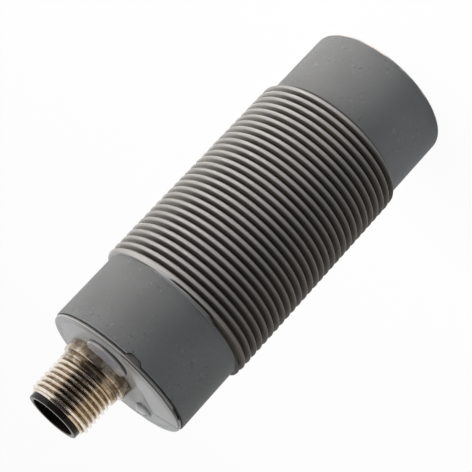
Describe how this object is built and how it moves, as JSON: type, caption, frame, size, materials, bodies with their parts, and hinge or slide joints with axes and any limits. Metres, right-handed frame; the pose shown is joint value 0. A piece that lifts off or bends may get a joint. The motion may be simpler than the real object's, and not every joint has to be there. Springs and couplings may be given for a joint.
{
  "type": "capacitive proximity sensor",
  "caption": "Cylindrical capacitive proximity sensor with a threaded plastic barrel, a signal window, a sensitivity adjuster and an off-centre plug connector.",
  "frame": {"origin": "centre of the sensing face, on the barrel's axis", "axes": "+Z along the barrel, from the sensing face to the plug connector; the key tab in the cap's rim is at -Y and the adjuster is at -X and +Y"},
  "size_m": [0.0296, 0.0296, 0.0821],
  "materials": {
    "barrel_plastic": "fine-grained moulding, mid grey",
    "cap_plastic": "satin moulding, grey",
    "window_plastic": "clear, slightly smoked violet",
    "adjuster_plastic": "satin, blue grey",
    "plated_brass": "bright nickel plating with a warm tone",
    "insert_plastic": "satin, black",
    "gold_contact": "gold plated",
    "copper_foil": "bright copper",
    "carrier_plastic": "natural, off-white",
    "shield_sheet": "plain rolled brass",
    "tinned_wire": "tinned",
    "board_laminate": "green solder mask",
    "component_plastic": "moulded, black",
    "capacitor_can": "bare can",
    "trimmer_plastic": "blue",
    "rotor_plastic": "white",
    "lamp_resin": "clear yellow resin",
    "seal_rubber": "black"
  },
  "bodies": {
    "sensor": {"housing": "barrel_plastic", "end_cap": "cap_plastic", "light_guide": "window_plastic", "connector_shell": "plated_brass", "connector_insert": "insert_plastic", "contact_pin_1": "gold_contact", "contact_pin_2": "gold_contact", "contact_pin_3": "gold_contact", "contact_pin_4": "gold_contact", "connector_nut": "plated_brass", "connector_seal": "seal_rubber", "adjuster_seal": "seal_rubber", "cap_gasket": "seal_rubber", "active_electrode": "copper_foil", "guard_electrode": "copper_foil", "ground_electrode": "copper_foil", "active_pin": "tinned_wire", "guard_pin": "tinned_wire", "ground_pin": "tinned_wire", "electrode_carrier": "carrier_plastic", "shield_tube": "shield_sheet", "main_board": "board_laminate", "rear_board": "board_laminate", "evaluation_chip": "component_plastic", "voltage_regulator": "component_plastic", "output_transistor": "component_plastic", "protection_diode": "component_plastic", "smoothing_capacitor": "capacitor_can", "trimmer_body": "trimmer_plastic", "indicator_lamp": "lamp_resin"},
    "adjuster": {"adjuster_screw": "adjuster_plastic", "trimmer_rotor": "rotor_plastic"}
  },
  "joints": [
    {"name": "adjuster_turn", "type": "hinge", "parent": "sensor", "child": "adjuster", "pos_m": [-0.00735, 0.0055, 0.0695], "axis": [0, 0, 1], "range_deg": [-135, 135]}
  ]
}
